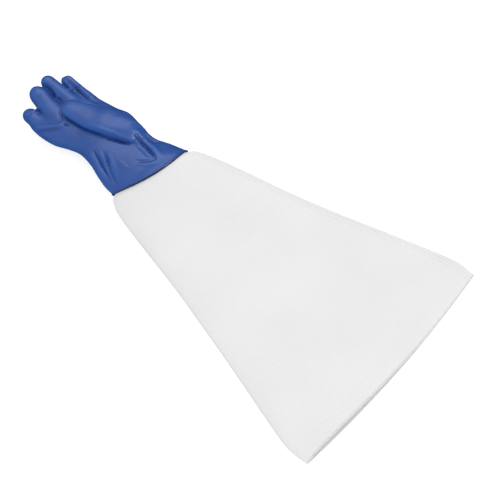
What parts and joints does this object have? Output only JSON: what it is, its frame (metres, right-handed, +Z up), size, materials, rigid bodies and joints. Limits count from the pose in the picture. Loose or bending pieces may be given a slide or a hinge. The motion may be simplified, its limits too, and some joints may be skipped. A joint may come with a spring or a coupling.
{
  "type": "sandblasting cabinet glove",
  "caption": "Right-hand dipped glove with a flared gauntlet, joined to a long tapering cloth sleeve with a hemmed open mouth, lying palm up.",
  "frame": {"origin": "middle of the outline, on the surface that the glove lies on", "axes": "+X from the fingertips to the sleeve's mouth, +Y to the thumb's side, +Z up, out of the palm"},
  "size_m": [0.7058, 0.3544, 0.0516],
  "materials": {
    "glove_coating": "glossy",
    "sleeve_cloth": "matte",
    "hem_cloth": "matte"
  },
  "bodies": {
    "root": {"glove": "glove_coating", "sleeve": "sleeve_cloth", "mouth_hem": "hem_cloth"}
  },
  "joints": []
}
